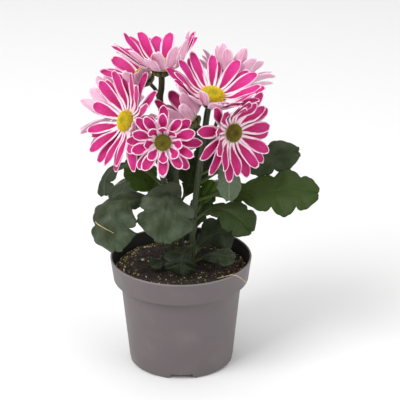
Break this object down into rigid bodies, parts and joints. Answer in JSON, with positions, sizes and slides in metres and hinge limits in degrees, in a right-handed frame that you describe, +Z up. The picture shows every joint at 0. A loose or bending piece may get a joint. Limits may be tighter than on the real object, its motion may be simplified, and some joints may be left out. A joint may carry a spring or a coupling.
{
  "type": "pot chrysanthemum",
  "caption": "Flowering chrysanthemum in a grey nursery pot: leafy stems in peat carry daisy blooms with pink, white-edged petals and yellow-green discs.",
  "frame": {"origin": "centre of the pot's flat underside, on the pot's axis", "axes": "+Z up along the pot's axis, -Y towards the pictured front, +X to the viewer's right"},
  "size_m": [0.2006, 0.1393, 0.2959],
  "materials": {
    "pot_plastic": "satin moulded plastic, near black inside",
    "peat": "damp crumbly peat",
    "stem_green": "ribbed, finely hairy",
    "leaf_green": "soft satin, veined",
    "petal_pink": "soft matt, white edged, pale behind",
    "disc_yellow": "matt, beaded with florets",
    "disc_olive": "matt, beaded with florets"
  },
  "bodies": {
    "root": {"pot": "pot_plastic", "soil": "peat", "stem_left": "stem_green", "stem_centre": "stem_green", "stem_right": "stem_green", "bloom_front_petals": "petal_pink", "bloom_front_disc": "disc_olive", "bloom_left_petals": "petal_pink", "bloom_left_disc": "disc_yellow", "bloom_upper_right_petals": "petal_pink", "bloom_upper_right_disc": "disc_yellow", "bloom_right_petals": "petal_pink", "bloom_right_disc": "disc_olive", "bloom_top_petals": "petal_pink", "bloom_top_disc": "disc_yellow", "bloom_middle_petals": "petal_pink", "bloom_middle_disc": "disc_olive", "bloom_back_left_petals": "petal_pink", "bloom_back_left_disc": "disc_yellow", "bloom_back_right_petals": "petal_pink", "bloom_back_right_disc": "disc_yellow", "bloom_low_back_petals": "petal_pink", "bloom_low_back_disc": "disc_olive", "leaf_front_left": "leaf_green", "leaf_front": "leaf_green", "leaf_front_right": "leaf_green", "leaf_right": "leaf_green", "leaf_back_right": "leaf_green", "leaf_hanging": "leaf_green", "leaf_curled": "leaf_green", "leaf_bright_left": "leaf_green", "leaf_bright_right": "leaf_green", "leaf_behind": "leaf_green", "leaf_inner": "leaf_green", "leaf_inner_low": "leaf_green", "leaf_inner_left": "leaf_green", "leaf_inner_right": "leaf_green", "leaf_low_right": "leaf_green", "leaf_soil_right": "leaf_green", "leaf_low_front": "leaf_green", "leaf_soil_left": "leaf_green", "leaf_rear_left": "leaf_green", "leaf_rear_right": "leaf_green", "leaf_rear_low": "leaf_green"}
  },
  "joints": []
}
